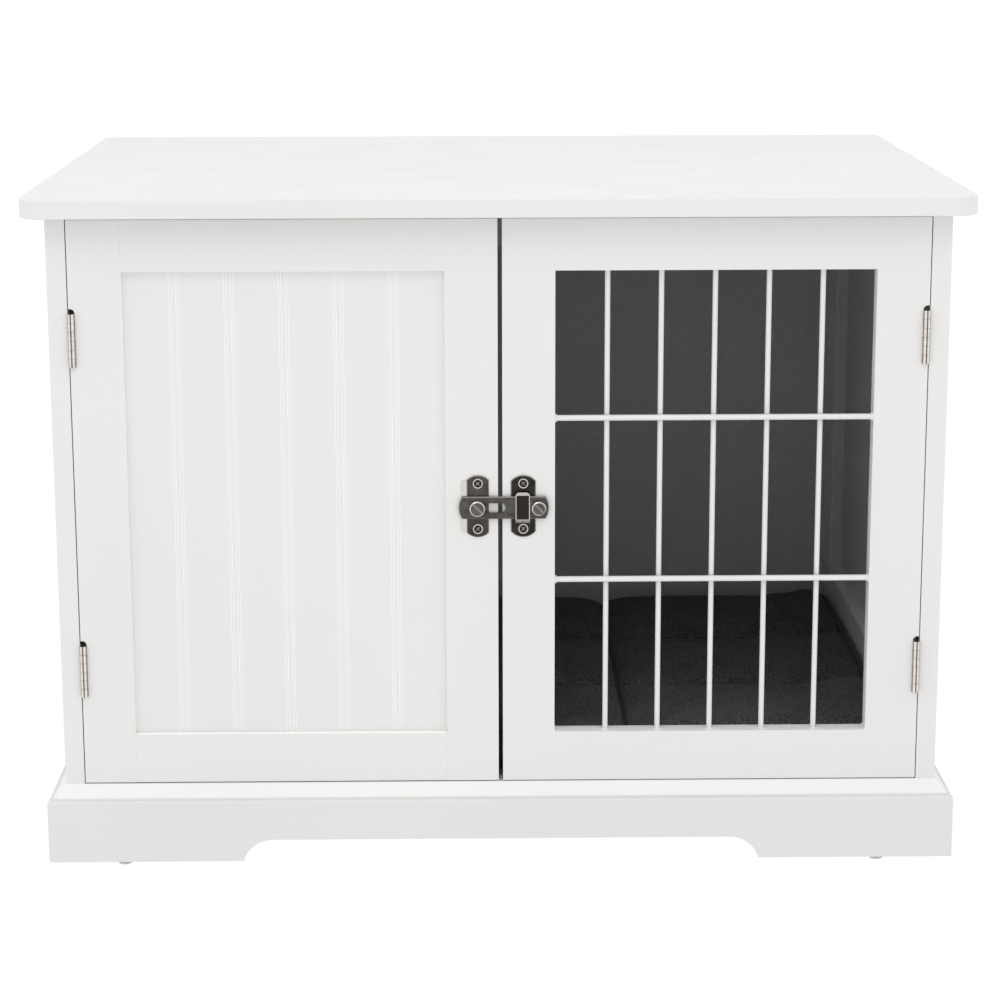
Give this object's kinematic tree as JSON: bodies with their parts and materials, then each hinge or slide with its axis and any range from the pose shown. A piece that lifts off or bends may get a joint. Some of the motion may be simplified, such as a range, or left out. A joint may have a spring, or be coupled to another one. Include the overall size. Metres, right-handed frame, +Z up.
{
  "type": "rabbit hutch",
  "caption": "Indoor furniture-style pet hutch: a white cabinet on a plinth with a bead-board door, a wire-grille door, a swing latch and a quilted cushion.",
  "frame": {"origin": "centre of the footprint on the surface that the glides stand on", "axes": "+Z up, +X to the right seen from the doors, +Y from the doors to the back panel"},
  "size_m": [0.73, 0.54, 0.53],
  "materials": {
    "white_lacquer": "satin sprayed lacquer",
    "inner_board": "matt laminated board",
    "grille_paint": "satin powder coat",
    "hinge_nickel": "satin nickel plate",
    "latch_gunmetal": "brushed black nickel plate",
    "zinc_steel": "zinc plate",
    "glide_plastic": "moulded",
    "cushion_fabric": "short-pile fleece"
  },
  "bodies": {
    "cabinet": {"back_panel": "inner_board", "cabinet_screws": "zinc_steel", "corner_blocks": "inner_board", "cushion": "cushion_fabric", "floor_glides": "glide_plastic", "floor_panel": "white_lacquer", "frame_hinge_screws": "hinge_nickel", "left_corner_batten": "inner_board", "left_lower_hinge_frame_leaf": "hinge_nickel", "left_lower_hinge_pin": "hinge_nickel", "left_side_batten": "inner_board", "left_side_panel": "white_lacquer", "left_upper_hinge_frame_leaf": "hinge_nickel", "left_upper_hinge_pin": "hinge_nickel", "plinth_back": "white_lacquer", "plinth_front": "white_lacquer", "plinth_left": "white_lacquer", "plinth_right": "white_lacquer", "right_corner_batten": "inner_board", "right_lower_hinge_frame_leaf": "hinge_nickel", "right_lower_hinge_pin": "hinge_nickel", "right_side_batten": "inner_board", "right_side_panel": "white_lacquer", "right_upper_hinge_frame_leaf": "hinge_nickel", "right_upper_hinge_pin": "hinge_nickel", "top_back_rail": "inner_board", "top_board": "white_lacquer", "top_front_rail": "inner_board"},
    "left_door": {"left_door_beadboard": "white_lacquer", "left_door_bottom_rail": "white_lacquer", "left_door_hinge_screws": "hinge_nickel", "left_door_hinge_stile": "white_lacquer", "left_door_lock_stile": "white_lacquer", "left_door_top_rail": "white_lacquer", "left_upper_hinge_door_leaf": "hinge_nickel", "left_lower_hinge_door_leaf": "hinge_nickel", "latch_plate": "latch_gunmetal", "latch_stud": "latch_gunmetal", "latch_plate_screws": "latch_gunmetal"},
    "right_door": {"grille_crossbar_lower": "grille_paint", "grille_crossbar_upper": "grille_paint", "grille_wire_1": "grille_paint", "grille_wire_2": "grille_paint", "grille_wire_3": "grille_paint", "grille_wire_4": "grille_paint", "grille_wire_5": "grille_paint", "right_door_bottom_rail": "white_lacquer", "right_door_hinge_screws": "hinge_nickel", "right_door_hinge_stile": "white_lacquer", "right_door_lock_stile": "white_lacquer", "right_door_top_rail": "white_lacquer", "right_upper_hinge_door_leaf": "hinge_nickel", "right_lower_hinge_door_leaf": "hinge_nickel", "keeper_plate": "latch_gunmetal", "keeper_screws": "latch_gunmetal"},
    "latch_bar": {"latch_bar": "latch_gunmetal", "latch_knob": "latch_gunmetal"}
  },
  "joints": [
    {"name": "left_door_hinge", "type": "hinge", "parent": "cabinet", "child": "left_door", "pos_m": [-0.32845, -0.2525, 0.28875], "axis": [0, 0, -1], "range_deg": [0, 170]},
    {"name": "right_door_hinge", "type": "hinge", "parent": "cabinet", "child": "right_door", "pos_m": [0.32845, -0.2525, 0.28875], "axis": [0, 0, 1], "range_deg": [0, 170]},
    {"name": "latch_pivot", "type": "hinge", "parent": "left_door", "child": "latch_bar", "pos_m": [-0.018, -0.2537, 0.2878], "axis": [0, -1, 0], "range_deg": [0, 95]}
  ]
}
